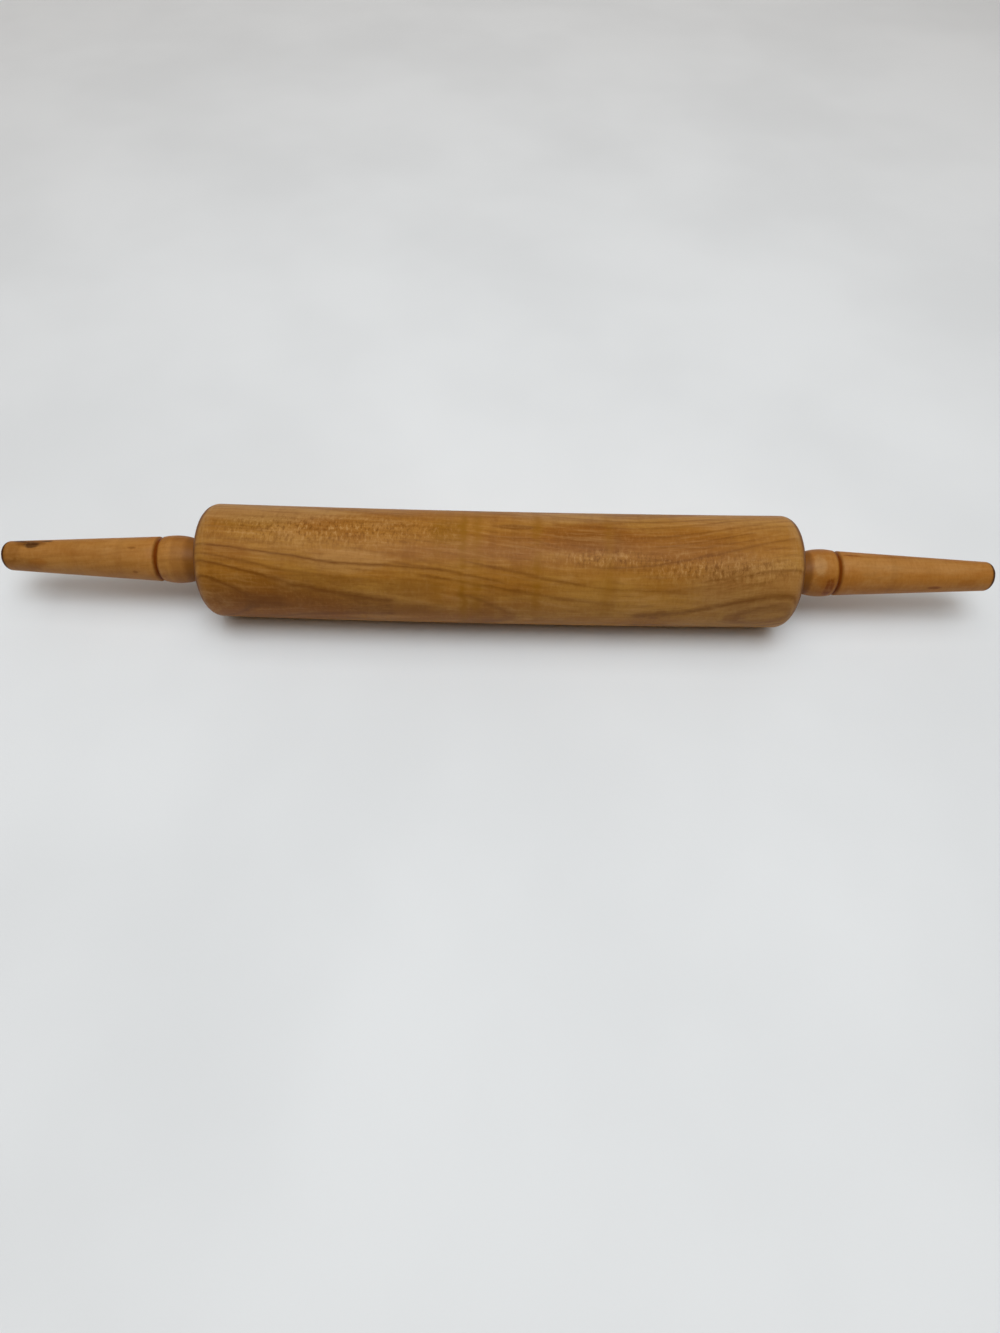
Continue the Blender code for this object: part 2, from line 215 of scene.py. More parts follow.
class Finish:
    """One material, with the nodes that it is made of."""

    def __init__(self, name):
        self.material = bpy.data.materials.new(name)
        self.material.use_nodes = True
        self.tree = self.material.node_tree
        self.tree.nodes.clear()
        self.point = self.place()
        split = self.node("ShaderNodeSeparateXYZ", sockets={"Vector": self.point}).socket.node
        self.x, self.y, self.z = (Value(self, split.outputs[axis]) for axis in "XYZ")

    def node(self, kind, settings=None, sockets=None, output=0):
        """Add a node: first its settings, then the values or links of its sockets."""
        made = self.tree.nodes.new(kind)
        for name, value in (settings or {}).items():
            setattr(made, name, value)
        for name, value in (sockets or {}).items():
            socket = self.find(made.inputs, name)
            if isinstance(value, Value):
                self.tree.links.new(value.socket, socket)
            else:
                socket.default_value = value
        return Value(self, self.find(made.outputs, output)) if made.outputs else None

    @staticmethod
    def find(sockets, name):
        if isinstance(name, int):
            return sockets[name]
        return next(s for s in sockets if name in (s.identifier, s.name))

    def place(self):
        """Where a point lies from the middle of the pin's axis, in millimetres."""
        object_place = self.node("ShaderNodeTexCoord", output="Object")
        return self.mapped(object_place, (0, 0, -MILLIMETRES * AXIS_HEIGHT), (MILLIMETRES,) * 3)

    def mapped(self, vector, shift, scale):
        """A vector, scaled and then shifted."""
        sockets = {"Vector": vector, "Location": shift, "Scale": scale}
        return self.node("ShaderNodeMapping", {"vector_type": "POINT"}, sockets)

    def noise(self, stretch, detail, roughness=0.5, shift=(0, 0, 0), vector=None):
        """Noise from 0 to 1. The stretch is how many features a millimetre holds along X, Y and Z."""
        placed = self.mapped(vector or self.point, shift, stretch)
        sockets = {"Vector": placed, "Scale": 1.0, "Detail": detail, "Roughness": roughness}
        return self.node("ShaderNodeTexNoise", sockets=sockets, output="Fac")

    def mix(self, share, first, second):
        sockets = {"Factor_Float": share, "A_Color": first, "B_Color": second}
        return self.node("ShaderNodeMix", {"data_type": "RGBA"}, sockets, "Result_Color")

    def away(self, middle, reach):
        """1 at a middle, falling to 0 at the reach from it along X, Y and Z, in millimetres."""
        scale = [1 / r for r in reach]
        shift = [-m * s for m, s in zip(middle, scale)]
        placed = self.mapped(self.point, shift, scale)
        length = self.node("ShaderNodeVectorMath", {"operation": "LENGTH"}, {0: placed}, "Value")
        return length.share(1.0, 0.0)

    def bump(self, height, distance, strength):
        sockets = {"Height": height, "Distance": distance, "Strength": strength}
        return self.node("ShaderNodeBump", sockets=sockets)

    def close(self, sockets):
        """End the finish in its shader, and give the material."""
        shader = self.node("ShaderNodeBsdfPrincipled", sockets=sockets)
        self.node("ShaderNodeOutputMaterial", sockets={"Surface": shader})
        return self.material


def colour(value):
    """A colour property with its alpha."""
    return (*value, 1.0)


def between(x, first, last, fade):
    """1 along X from first to last, in millimetres, fading to 0 over a distance beyond them."""
    return x.share(first - fade, first) * x.share(last + fade, last)


class Figure(NamedTuple):
    """What a piece of wood shows. Places are in millimetres from the middle of the pin's axis."""

    # The heart of the tree: its Y and its Z, as coefficients of X / 100 from the constant upwards
    heart: tuple
    # Growth lines that show dark: first X, distance from the heart there, last X, distance, strength
    rings: tuple
    # Places with silvery flecks: middle, reach
    flecks: tuple
    # Bands of curl across the grain: X, half width, strength
    curls: tuple
    # Spots and patches, some of them painted sheen and highlights: tone, middle, reach, strength
    stains: tuple
    # How strongly the fine grain shows
    streaks: float
    # How far the end faces, which show end grain, lie from the middle of the pin
    end: float


class Maple(Finish):
    """Lacquered maple, whose growth rings lie round the heart of the tree."""

    def __init__(self, name, tones, figure):
        super().__init__(name)
        self.tones = tones
        self.figure = figure
        self.base = self.tone("pale")
        self.drift = self.noise((0.012, 0.045, 0.045), 1.0)
        self.ripple = self.noise((0.09, 0.35, 0.35), 2.0, shift=(7, 3, 5))
        self.grain = self.noise((0.05, 0.8, 0.8), 4.0, 0.6)
        self.pores = self.noise((0.3, 5.0, 5.0), 2.0, 0.6, shift=(1, 5, 3)).share(0.6, 0.75)
        self.across = self.y - self.heart_place(figure.heart[0])
        self.distance = self.from_heart()
        self.lines = self.growth_lines()

    def heart_place(self, coefficients):
        """The heart's Y or Z, which bends along X."""
        along = self.x / 100
        return reduce(lambda total, coefficient: along * total + coefficient, reversed(coefficients))

    def from_heart(self):
        """How far a point lies from the heart, with the waver of real rings."""
        up = self.z - self.heart_place(self.figure.heart[1])
        shiver = self.noise((0.30, 1.1, 1.1), 2.0, shift=(2, 6, 1))
        waver = self.drift * 0.6 + self.ripple * 0.9 + shiver * 0.8 - 1.15
        return (self.across * self.across + up * up).root() + waver

    def growth_lines(self):
        """Where the dark growth lines lie: a thin core, with a softer shade towards the heart."""
        lines = []
        for first, first_distance, last, last_distance, strength in self.figure.rings:
            gap = self.distance - self.x.ramp(first, first_distance, last, last_distance)
            shade = (gap / 3.0 + 1).lowest(1 - gap / 0.6).highest(0)
            core = (1 - (gap + 0.2).size() / 0.8).highest(0)
            line = (shade**1.8 * 0.45).highest(core**0.8)
            lines.append(line * between(self.x, first, last, 7.0) * strength)
        breaks = self.noise((0.055, 0.25, 0.25), 3.0, shift=(11, 0, 4)).share(0.32, 0.54)
        return reduce(Value.highest, lines) * (breaks * 0.36 + 0.64)

    def tone(self, name):
        """One of the tones, with its alpha."""
        return colour(getattr(self.tones, name))

    def lay(self, share, tone):
        """Lay a share of one of the tones over the colour so far."""
        self.base = self.mix(share, self.base, self.tone(tone))

    def lay_ground(self):
        """Broad patches of warm and redder wood, on the pale."""
        patches = self.noise((0.014, 0.05, 0.05), 3.0, shift=(3, 8, 1))
        deep = self.noise((0.022, 0.07, 0.07), 3.0, shift=(6, 2, 9))
        blotch = self.noise((0.045, 0.11, 0.11), 3.0, 0.6, shift=(8, 4, 4))
        self.lay(patches.share(0.38, 0.62), "warm")
        self.lay(deep.share(0.45, 0.7) * 0.55, "deep")
        self.lay(blotch.share(0.5, 0.72) * 0.38, "deep")
        self.lay(blotch.share(0.46, 0.28) * 0.30, "gleam")

    def lay_stains(self):
        """This piece's spots and patches, with ragged edges."""
        ragged = self.noise((0.4, 0.9, 0.9), 4.0, 0.65, shift=(5, 2, 2))
        for tone, middle, reach, strength in self.figure.stains:
            spot = self.away(middle, reach)
            spread = (spot * 1.1 + ragged * 0.7 - 0.55).share(0.0, 0.55)
            self.lay(spread * strength, tone)

    def lay_grain(self):
        """Streaks that follow the rings, then the finer grain, fibres and pores along the wood."""
        streaks = self.figure.streaks
        sockets = {"X": self.x, "Y": self.distance, "Z": self.across}
        layers = self.node("ShaderNodeCombineXYZ", sockets=sockets)
        streak = self.noise((0.035, 0.60, 0.06), 3.0, 0.6, shift=(2, 3, 3), vector=layers)
        fibre = self.noise((0.11, 2.6, 2.6), 3.0, 0.6, shift=(4, 4, 9))
        self.lay(streak.share(0.50, 0.72) * (0.42 * streaks), "ring")
        self.lay(streak.share(0.48, 0.28) * (0.34 * streaks), "gleam")
        self.lay(self.grain.share(0.48, 0.70) * (0.22 * streaks), "ring")
        self.lay(self.grain.share(0.48, 0.30) * (0.20 * streaks), "gleam")
        self.lay(fibre.share(0.48, 0.72) * (0.14 * streaks), "ring")
        self.lay(self.pores * (0.14 * streaks), "ring")

    def lay_flecks(self):
        """Short flecks, strong in their own places and faint everywhere else."""
        ticks = self.noise((0.78, 0.32, 0.32), 3.0, 0.75, shift=(2, 2, 8))
        spots = [self.away(middle, reach) ** 0.7 for middle, reach in self.figure.flecks]
        zone = reduce(Value.highest, spots) * 0.82 + 0.18
        self.lay(ticks.share(0.535, 0.605) * zone * 0.66, "ring")
        self.lay(ticks.share(0.46, 0.38) * zone * 0.60, "gleam")

    def lay_curl(self):
        """Bands of curl across the grain, broken where the wood runs straight."""
        swell = self.noise((0.15, 0.012, 0.012), 1.0, shift=(4, 1, 1)).share(0.53, 0.70)
        broken = self.noise((0.02, 0.13, 0.13), 3.0, 0.6, shift=(1, 7, 7)).share(0.30, 0.55)
        sway = self.x + self.ripple * 5.0 - 2.5
        bands = [
            (sway - x).size().share(half, 0.0) * strength for x, half, strength in self.figure.curls
        ]
        self.lay(swell * broken * 0.16, "ring")
        self.lay(reduce(Value.highest, bands) * broken, "olive")

    def lay_rings(self):
        """Faint rings all over, and the dark growth lines."""
        year = (self.distance / 2.9 + self.drift * 2.0).fraction()
        shows = self.noise((0.03, 0.12, 0.12), 2.0, shift=(0, 9, 2)).share(0.42, 0.7)
        self.lay(year**2.5 * shows * 0.16, "ring")
        self.lay(self.lines * 0.84, "ring")

    def lay_marks(self):
        """The marks that only one kind of piece has."""

    def lay_end_grain(self):
        """The end faces show the rings across, and the pores as dots."""
        year = (self.distance / 1.7 + self.drift * 2.0).fraction()
        dots = self.noise((0.5, 3.2, 3.2), 3.0, 0.65, shift=(3, 1, 2)).share(0.48, 0.66)
        end_grain = self.mix(year**2.5 * 0.6 + dots * 0.4, self.tone("deep"), self.tone("ring"))
        end = self.figure.end
        self.base = self.mix(self.x.size().share(end - 0.3, end - 0.1) * 0.85, self.base, end_grain)

    def lacquered(self):
        """Lay all the colours over one another, and lacquer them."""
        self.lay_ground()
        self.lay_stains()
        self.lay_grain()
        self.lay_flecks()
        self.lay_curl()
        self.lay_rings()
        self.lay_marks()
        self.lay_end_grain()
        height = self.grain * 0.4 - self.pores * 0.3 - self.lines * 0.3 + self.ripple * 1.2
        return self.close(
            {
                "Base Color": self.base,
                "Roughness": self.grain * 0.12 + 0.44,
                "Specular IOR Level": 0.12,
                "Coat Weight": 0.03,
                "Coat Roughness": 0.3,
                "Normal": self.bump(height, 0.00006, 0.5),
            }
        )


class BarrelMaple(Maple):
    """The barrel's maple, rubbed at its ends, with painted highlight and painted shade there."""

    def lay_marks(self):
        """Pale rubbed edges with a painted highlight on top, and painted shade at the end faces."""
        end = self.figure.end
        scuffs = self.noise((1.3, 0.22, 0.22), 3.0, 0.65, shift=(6, 6, 2))
        # Wear on the rounded edges, made stronger towards the back and top as a painted highlight
        rubbed_and_highlit = self.x.size() + scuffs * 9.0 - 4.5
        painted_upper_highlight = self.y.share(-16.0, 4.0) * 0.8 + 0.2
        self.lay(rubbed_and_highlit.share(end - 9.0, end - 1.5) * painted_upper_highlight * 0.5, "worn")
        # Painted shade: a dark band where the rounded edges meet the end faces, wider towards the back
        painted_end_shade = self.x.size() + self.y.share(-14.0, 16.0) * 2.2
        self.lay(painted_end_shade.share(end - 3.0, end - 1.2) * 0.85, "ring")


class HandleMaple(Maple):
    """A handle's maple, marked by the turner and by use, with painted shade next to the barrel.

    The groove is its distance from the middle of the pin. The nose shade is how far the painted
    shade reaches from the nose, and how strongly it darkens the rest of the bead.
    """

    def __init__(self, name, tones, figure, groove, nose_shade):
        super().__init__(name, tones, figure)
        self.groove = groove
        self.nose_shade = nose_shade

    def lay_marks(self):
        """The burnt groove, painted shade at the nose, and a dark rim round the tip."""
        ragged = self.noise((0.5, 0.5, 0.5), 2.0, shift=(9, 1, 4))
        from_groove = (self.x.size() - self.groove).size() + ragged * 0.5 - 0.25
        self.lay(from_groove.share(2.0, 0.9) * 0.5, "ring")
        self.lay(from_groove.share(1.3, 0.7) * 0.95, "burnt")
        # Painted shade where the handle meets the barrel, and fainter over the rest of the bead
        reach, bead_shading = self.nose_shade
        from_nose = (self.x.size() - MILLIMETRES * BARREL_END).size() + ragged * 1.6 - 0.8
        painted_bead_shade = from_nose.share(16.0, 13.4) * bead_shading
        self.lay(painted_bead_shade.highest(from_nose.share(reach, 7.0) * 0.8), "ring")
        from_tip = (self.x.size() - self.figure.end).size() + ragged * 0.6 - 0.3
        self.lay(from_tip.share(3.0, 1.8) * 0.45, "ring")
        self.lay(from_tip.share(2.4, 1.6) * 0.92, "knot")


BARREL_FIGURE = Figure(
    heart=((-142.7, -3.2, 3.1), (-10.3, -48.7, 15.8, 32.8)),
    rings=(
        (-131, 124.6, -70, 122.9, 1.0),
        (-70, 122.9, -26, 124.8, 0.9),
        (-131, 121.2, -95, 118.6, 0.65),
        (-95, 118.5, -54, 118.8, 0.5),
        (-131, 118.2, -88, 115.5, 1.0),
        (-88, 115.5, -48, 115.2, 1.0),
        (-48, 115.2, -24, 115.0, 0.5),
        (-127, 113.3, -108, 111.4, 1.0),
        (-108, 111.4, -95, 112.6, 1.0),
        (-131, 133.5, -104, 133.0, 0.45),
        (-42, 125.1, -1, 124.6, 0.6),
        (-11, 129.4, 34, 128.1, 0.6),
        (-30, 121.9, 46, 123.1, 0.6),
        (-14, 118.6, 3, 117.1, 0.6),
        (-4, 142.2, 12, 144.1, 0.45),
        (12, 144.1, 26, 142.0, 0.45),
        (70, 145.2, 107, 145.8, 0.5),
        (87, 138.4, 129, 140.0, 0.6),
        (43, 135.4, 88, 138.9, 0.65),
        (90, 128.6, 129, 126.6, 0.55),
        (43, 127.9, 104, 126.6, 0.4),
        (62, 120.5, 129, 119.6, 0.9),
        (99, 117.0, 129, 118.3, 0.7),
        (60, 149.5, 112, 150.5, 0.5),
        (40, 154.0, 100, 155.0, 0.5),
        (28, 159.0, 92, 158.0, 0.6),
        (-6, 164.5, 60, 163.5, 0.5),
        (-130, 152.0, -40, 150.5, 0.6),
        (-110, 158.5, 0, 159.5, 0.8),
        (-60, 168.0, 40, 167.0, 0.7),
        (50, 163.0, 130, 164.5, 0.7),
    ),
    flecks=(
        ((-74, -2, 26), (72, 11, 12)),
        ((92, -15, 20), (52, 8, 9)),
        ((46, -13, 22), (30, 5, 6)),
        ((-10, 20, -16), (60, 14, 14)),
    ),
    curls=(
        (-26.5, 4.0, 0.28),
        (-15.7, 3.0, 0.85),
        (-9.9, 3.6, 0.6),
        (15.8, 3.2, 0.65),
        (46.5, 4.0, 0.4),
    ),
    stains=(
        ("deep", (38, -4, 25), (48, 15, 12), 0.95),
        ("ring", (42, -5, 25), (32, 9, 8), 0.30),
        ("deep", (76, -6, 25), (44, 14, 12), 0.60),
        ("olive", (-22, -2, 25), (15, 13, 10), 0.60),
        ("deep", (6, -8, 24), (30, 10, 12), 0.60),
        ("olive", (-108, 2, 26), (28, 8, 9), 0.45),
        ("ring", (7, 1.2, 25.4), (17, 3.0, 5), 0.50),
        ("deep", (-100, -24, -2), (78, 16, 22), 0.95),
        ("ring", (-100, -23, 8), (85, 14, 16), 0.40),
        ("deep", (-20, -24, -4), (50, 12, 14), 0.5),
        ("olive", (112, -22, 8), (30, 12, 14), 0.4),
        # Painted sheen: a pale patch along the top of the barrel's right end
        ("gleam", (108, 8, 24), (50, 14, 10), 0.20),
        ("dull", (108, -18, 12), (54, 24, 22), 0.30),
        # Painted sheen: pale patches along the top of the barrel, over its left end and its middle
        ("worn", (-102, 8, 24), (62, 14, 10), 0.30),
        ("worn", (32, 10, 23), (50, 10, 8), 0.30),
        ("gleam", (-66, -15.5, 20), (28, 9, 9), 0.35),
        ("ring", (-38, -22.5, 12), (26, 7, 9), 0.26),
        ("deep", (-116, -12, 22), (18, 8, 8), 0.50),
        ("ring", (-119, -24, 7), (16, 8, 10), 0.20),
        ("deep", (8, -25, 3), (40, 8, 10), 0.40),
        ("warm", (-38, -25, 0), (18, 7, 9), 0.50),
    ),
    streaks=0.86,
    end=MILLIMETRES * BARREL_END,
)

# Growth rings of both handles: distance from the heart, strength
HANDLE_YEARS = ((58.0, 0.12), (63.5, 0.22), (68.0, 0.15), (72.5, 0.24), (77.0, 0.15), (81.0, 0.22))

HANDLE_STAINS = {
    "left": (
        ("ring", (-212.0, 2.2, 6.8), (14.0, 4.4, 4.4), 0.75),
        ("knot", (-210.8, 0.6, 7.2), (6.2, 3.2, 3.4), 1.0),
        ("knot", (-218.0, 3.8, 5.6), (5.0, 1.8, 2.4), 0.85),
        ("knot", (-213.6, 2.6, 6.6), (5.0, 1.5, 2.0), 0.55),
        ("knot", (-204.6, 3.4, 6.6), (4.4, 1.5, 2.0), 0.85),
        ("ring", (-164.4, -1.6, 9.4), (3.5, 1.0, 1.4), 0.6),
        ("ring", (-163.5, -9.4, 2.0), (2.0, 1.2, 1.4), 0.6),
        ("deep", (-207.3, -6.4, 3.8), (8.0, 2.6, 3.0), 0.6),
        ("ring", (-222.0, -3.0, 5.0), (12.0, 9.0, 9.0), 0.4),
        ("ring", (-216.0, -7.0, 1.0), (15.0, 7.0, 8.0), 0.35),
        ("ring", (-192.0, -4.0, 4.0), (60.0, 14.0, 14.0), 0.15),
    ),
    "right": (
        ("burnt", (158.5, 2.6, 9.2), (8.0, 1.0, 1.6), 0.75),
        ("burnt", (197.6, -7.9, 0.8), (6.0, 1.3, 1.6), 0.8),
        ("deep", (211.9, -6.5, 3.1), (8.0, 2.6, 3.0), 0.5),
        ("deep", (147.4, -9.0, 2.0), (6.0, 7.0, 12.0), 0.6),
        ("burnt", (148.3, -9.9, 2.0), (3.8, 4.6, 10.0), 0.85),
        # Painted highlight on the bead
        ("gleam", (143.2, -3.6, 9.6), (5.0, 9.0, 6.0), 0.6),
        # Painted highlight along the top of the grip
        ("gleam", (186.0, -1.0, 8.0), (62.0, 7.0, 7.0), 0.3),
    ),
}

# For each handle, how far the painted shade at the nose reaches, and how dark it makes the bead
HANDLE_NOSE_SHADE = {"left": (12.5, 0.34), "right": (9.5, 0.1)}


def handle_figure(name, side):
    """Both handles are cut from wood with the same rings, and each has its own stains."""
    return Figure(
        heart=((-60.0 * side, 9.0), (38.0, -6.0 * side)),
        rings=tuple((-230, distance, 230, distance, strength) for distance, strength in HANDLE_YEARS),
        flecks=(((side * 190, 6, -6), (30, 8, 8)),),
        curls=((side * 166, 5.0, 0.15), (side * 180, 4.0, 0.15), (side * 194, 5.0, 0.2)),
        stains=HANDLE_STAINS[name],
        streaks=0.46,
        end=MILLIMETRES * (BARREL_END + HANDLE_REACH),
    )


def metal_finish(name, tone, stain, roughness, pitch, tarnish):
    """Metal with fine tool marks round the axle, every pitch millimetres, and a little tarnish."""
    finish = Finish(name)
    cloud = finish.noise((0.35, 0.35, 0.35), 4.0, 0.6)
    scratch = finish.noise((9.0, 0.6, 0.6), 2.0, shift=(5, 5, 5))
    tool_marks = (finish.x * (2 * math.pi / pitch)).wave()
    base = finish.mix(cloud.share(0.45, 0.75) * tarnish, colour(tone), colour(stain))
    return finish.close(
        {
            "Base Color": base,
            "Metallic": 1.0,
            "Roughness": cloud * 0.14 + scratch * 0.10 + (roughness - 0.10),
            "Normal": finish.bump(tool_marks * 0.3 + scratch * 0.5, 0.00002, 0.5),
        }
    )


def fibre_finish(name, tone, fleck):
    """Pressed vulcanised fibre: matt, with short lighter threads in it."""
    finish = Finish(name)
    threads = finish.noise((1.2, 6.0, 1.6), 3.0, 0.6)
    cloud = finish.noise((0.4, 0.4, 0.4), 2.0, shift=(3, 3, 3))
    base = finish.mix(threads.share(0.5, 0.72) * 0.5, colour(tone), colour(fleck))
    return finish.close(
        {
            "Base Color": base,
            "Roughness": cloud * 0.2 + 0.5,
            "Normal": finish.bump(threads, 0.00005, 0.6),
        }
    )


def deselect():
    """Leave edit mode with nothing selected."""
    if bpy.context.mode != "OBJECT":
        bpy.ops.object.mode_set(mode="OBJECT")
    bpy.ops.object.select_all(action="DESELECT")


def edit(kind):
    """Go into edit mode on the active piece, picking that kind of element."""
    bpy.ops.object.mode_set(mode="EDIT")
    bpy.ops.mesh.select_mode(type=kind)


def pick(group, test):
    """Select the vertices, edges or faces of the piece in edit mode that pass the test."""
    mesh = bpy.context.edit_object.data
    shape = bmesh.from_edit_mesh(mesh)
    bpy.ops.mesh.select_all(action="DESELECT")
    for element in getattr(shape, group):
        element.select_set(test(element))
    bmesh.update_edit_mesh(mesh)


def radius_of(point):
    """How far a point lies from the pin's axis."""
    return math.hypot(point.y, point.z - AXIS_HEIGHT)


def pick_hoop(out, radius):
    """Select the edges of a hoop of that radius, at a place out from the barrel's end."""
    placed = bpy.context.edit_object.matrix_world

    def on_hoop(vertex):
        point = placed @ vertex.co
        off = abs(point.x) - BARREL_END - out
        return abs(off) < TOUCH and abs(radius_of(point) - radius) < NEAR

    pick("edges", lambda e: all(on_hoop(v) for v in e.verts))


def finish_mesh():
    """Weld the piece, turn its faces outwards, put its place in its mesh, and smooth its shading."""
    edit("VERT")
    bpy.ops.mesh.select_all(action="SELECT")
    bpy.ops.mesh.remove_doubles(threshold=WELD_DISTANCE)
    bpy.ops.mesh.normals_make_consistent(inside=False)
    bpy.ops.object.mode_set(mode="OBJECT")
    bpy.ops.object.transform_apply(location=True, rotation=True, scale=True)
    bpy.ops.object.shade_smooth_by_angle(angle=SHARP_ANGLE)


def dress(piece, finish, body, node):
    """Give a piece its finish, and set it in the place of its CAD node."""
    piece.data.materials.clear()
    piece.data.materials.append(finish)
    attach(piece, body)
    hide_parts(node)


def arc(middle, radius, first, last, steps):
    """Points (radius, out) on an arc, from one angle to another. Angle 0 points away from the axis."""
    turns = [math.radians(first + (last - first) * i / steps) for i in range(steps + 1)]
    return [(middle[0] + radius * math.cos(a), middle[1] + radius * math.sin(a)) for a in turns]


def sweep(profile, middle, axis):
    """Extrude the selected hoop along a profile of (radius, place along the axis), resizing it."""
    for (radius, place), (next_radius, next_place) in zip(profile, profile[1:]):
        move = [a * (next_place - place) for a in axis]
        bpy.ops.mesh.extrude_region_move(TRANSFORM_OT_translate={"value": move})
        growth = [1 if a else next_radius / radius for a in axis]
        centre = [m + a * next_place for m, a in zip(middle, axis)]
        bpy.ops.transform.resize(value=growth, center_override=centre)


def turn(name, side, profile, sides, ring=False):
    """Turn a piece about the axle, from a profile of (radius, out).

    A ring's profile closes on itself. An open one is closed with a face over its last hoop.
    """
    deselect()
    radius, out = profile[0]
    start = side * (BARREL_END + out)
    bpy.ops.mesh.primitive_circle_add(
        vertices=sides, radius=radius, location=(start, 0, AXIS_HEIGHT), rotation=(0, math.pi / 2, 0)
    )
    piece = bpy.context.object
    piece.name = name
    edit("EDGE")
    bpy.ops.mesh.select_all(action="SELECT")
    sweep(profile + profile[:1] * ring, (side * BARREL_END, 0, AXIS_HEIGHT), (side, 0, 0))
    if not ring:
        bpy.ops.mesh.edge_face_add()
    return piece


def turned_ring(name, side, profile):
    """A washer or cap, finished."""
    piece = turn(name, side, profile, FITTING_SIDES, ring=True)
    finish_mesh()
    return piece


def outer_radius(node):
    """The radius of a round CAD node, from its box across the axis."""
    low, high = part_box(node)
    return (high.z - low.z) / 2


def out_places(node, side):
    """The inner and outer place of a CAD node, as distances out from the barrel's end."""
    low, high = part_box(node)
    return sorted(side * end.x - BARREL_END for end in (low, high))


def length_property(name, description, default):
    """A length that a user may change."""
    return FloatProperty(name=name, description=description, default=default, unit="LENGTH")


def tone_property(name, description, default):
    """A colour that a user may change."""
    return FloatVectorProperty(
        name=name, description=description, default=default, subtype="COLOR", size=3
    )


class RollingPinSizes(PropertyGroup):
    """Sizes of the turned pieces."""

    edge_radius: length_property("Barrel Edge", "Rounding of the barrel's edges", 0.006)
    bow: length_property("Bow", "How far the barrel's middle has warped", 0.0012)
    bead_diameter: length_property("Bead", "Diameter of a handle's bead", 0.0216)
    bead_middle: length_property("Bead Middle", "Place of the bead's widest hoop", 0.0147)
    nose_diameter: length_property("Nose", "Diameter of a handle where it meets the barrel", 0.014)
    groove_place: length_property("Groove", "Place of the burnt groove", 0.0218)
    groove_offset: length_property("Groove Offset", "How much nearer the right groove is", 0.001)
    groove_width: length_property("Groove Width", "Width of the burnt groove", 0.0024)
    groove_depth: length_property("Groove Depth", "Depth of the burnt groove", 0.0013)
    shoulder_diameter: length_property("Shoulder", "Diameter of the grip next to its groove", 0.0202)
    tip_diameter: length_property("Tip", "Diameter of the grip at its tip", 0.0133)
    tip_edge: length_property("Tip Edge", "Rounding of the tip's edge", 0.0024)


class BarrelTones(PropertyGroup):
    """Colours of the barrel's maple."""

    pale: tone_property("Pale", "Sapwood, straw yellow", (0.395, 0.185, 0.030))
    warm: tone_property("Warm", "Heartwood, honey brown", (0.350, 0.142, 0.016))
    deep: tone_property("Deep", "Redder patches", (0.262, 0.087, 0.005))
    olive: tone_property("Olive", "Olive stain and curl", (0.262, 0.104, 0.002))
    # Also the dark of the painted shade where the rounded edges meet the end faces
    ring: tone_property("Growth Ring", "Dark growth lines", (0.150, 0.045, 0.001))
    # Also the painted highlight along the top of the barrel's right end
    gleam: tone_property("Gleam", "Pale flecks and fibres", (0.510, 0.270, 0.085))
    # Rubbed edges, and painted sheen along the top of the barrel
    worn: tone_property("Worn", "Rubbed edges", (0.450, 0.262, 0.105))
    dull: tone_property("Dull", "Greyer wood at the right end", (0.360, 0.205, 0.085))


class HandleTones(PropertyGroup):
    """Colours of the handles' maple."""

    pale: tone_property("Pale", "Lighter wood", (0.430, 0.192, 0.042))
    warm: tone_property("Warm", "Orange brown wood", (0.390, 0.155, 0.026))
    deep: tone_property("Deep", "Redder patches", (0.310, 0.101, 0.008))
    olive: tone_property("Olive", "Faint curl", (0.300, 0.116, 0.012))
    # Also the dark of the painted shade at the nose
    ring: tone_property("Growth Ring", "Dark growth lines", (0.165, 0.052, 0.003))
    # Also the painted highlights on the right handle's bead and along the top of its grip
    gleam: tone_property("Gleam", "Pale flecks and fibres", (0.500, 0.270, 0.090))
    burnt: tone_property("Burnt", "Burnt groove", (0.185, 0.040, 0.0005))
    knot: tone_property("Knot", "Knots and the dirt at the tip", (0.045, 0.012, 0.0005))


class FittingTones(PropertyGroup):
    """Colours of the metal and fibre pieces."""

    steel: tone_property("Steel", "Machined steel", (0.55, 0.55, 0.54))
    polished: tone_property("Polished Steel", "Ball steel", (0.72, 0.72, 0.73))
    plated: tone_property("Plated Steel", "Zinc plate", (0.62, 0.61, 0.58))
    brass: tone_property("Brass", "Cage brass", (0.70, 0.48, 0.18))
    tarnish: tone_property("Tarnish", "Stain on the metals", (0.20, 0.15, 0.09))
    fibre: tone_property("Fibre", "Thrust washers", (0.16, 0.06, 0.03))
    thread: tone_property("Thread", "Threads in the fibre", (0.33, 0.16, 0.09))


class StageTones(PropertyGroup):
    """Colours of the stage."""

    cloth: tone_property("Floor", "Plain pale floor", (0.814, 0.831, 0.844))
    sky: tone_property("Sky", "Light from all round", (1.0, 0.72, 0.45))
    lamp: tone_property("Lamp", "Cool light from the lamp overhead", (0.841, 0.933, 1.0))
    glow: tone_property("Glow", "Warm light from the ceiling and the walls", (1.0, 0.985, 0.972))
    wall: tone_property("Wall", "Brightness of the wall round the floor", (0.40, 0.41, 0.42))


